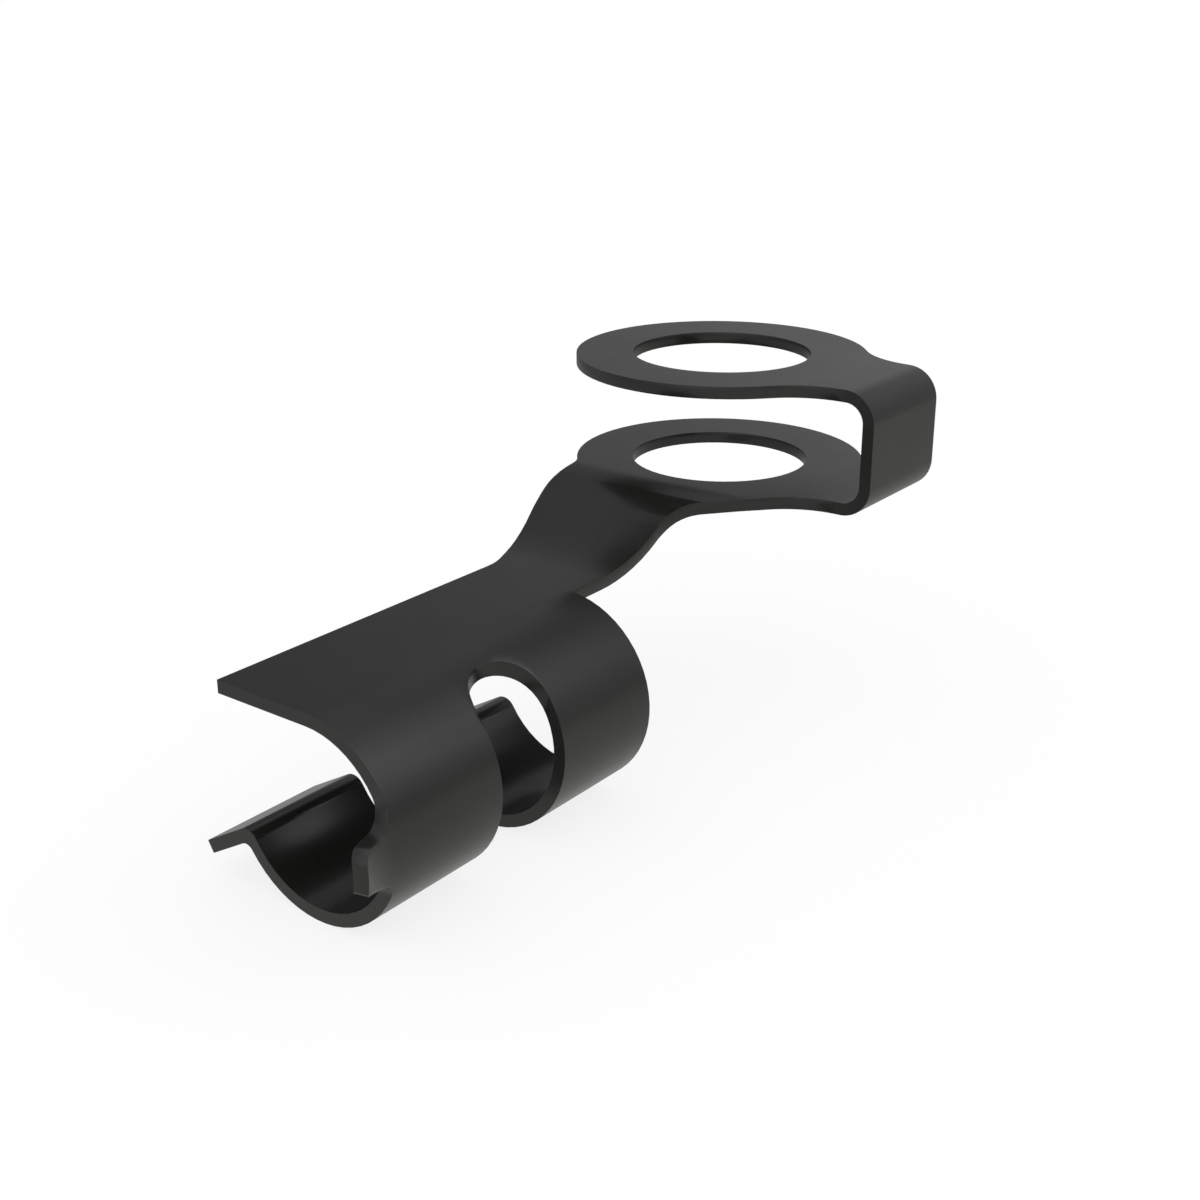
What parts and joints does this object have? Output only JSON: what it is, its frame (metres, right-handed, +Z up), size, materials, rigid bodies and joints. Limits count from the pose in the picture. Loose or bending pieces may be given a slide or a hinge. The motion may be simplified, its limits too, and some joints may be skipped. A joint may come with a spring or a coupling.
{
  "type": "latch rod clip",
  "caption": "Folded spring steel clip: paired pivot rings, a stepped neck and a slotted snap trough that holds a latch rod.",
  "frame": {"origin": "on the axis of the ring holes, at the underside of the lower ring", "axes": "+X points to the folded strap that joins the rings, +Y runs along the rod's axis from the trough to the rings, +Z points up along the pivot from the lower ring to the upper one"},
  "size_m": [0.0119, 0.0274, 0.0113],
  "materials": {
    "black_steel": "satin black coating over spring steel"
  },
  "bodies": {
    "root": {"rod_clip": "black_steel"}
  },
  "joints": []
}
